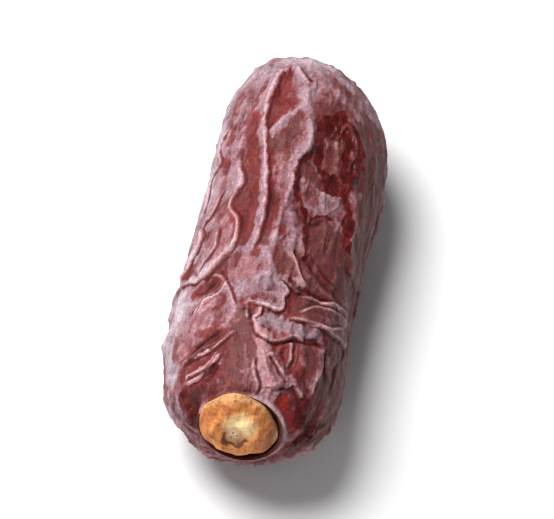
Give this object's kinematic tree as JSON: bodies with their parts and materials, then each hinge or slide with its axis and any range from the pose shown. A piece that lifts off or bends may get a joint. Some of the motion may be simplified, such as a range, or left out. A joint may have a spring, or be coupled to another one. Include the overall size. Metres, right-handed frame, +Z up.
{
  "type": "dried date fruit",
  "caption": "Long oval dried date with blunt ends, deeply wrinkled skin and a small round woody calyx set in a shallow socket at the stem end.",
  "frame": {"origin": "middle of the bounding box's bottom, on the surface that the date lies on", "axes": "+Y along the fruit towards its tip, with the calyx at the -Y end; +Z up, +X to the right seen from the calyx end"},
  "size_m": [0.0218, 0.0522, 0.0197],
  "materials": {
    "skin": "date skin: reddish brown, wrinkled, dull lavender bloom on the raised folds, half gloss in the hollows",
    "calyx": "dry woody calyx: golden tan, matt, with a pale stalk scar"
  },
  "bodies": {
    "root": {"fruit": "skin", "calyx": "calyx"}
  },
  "joints": []
}
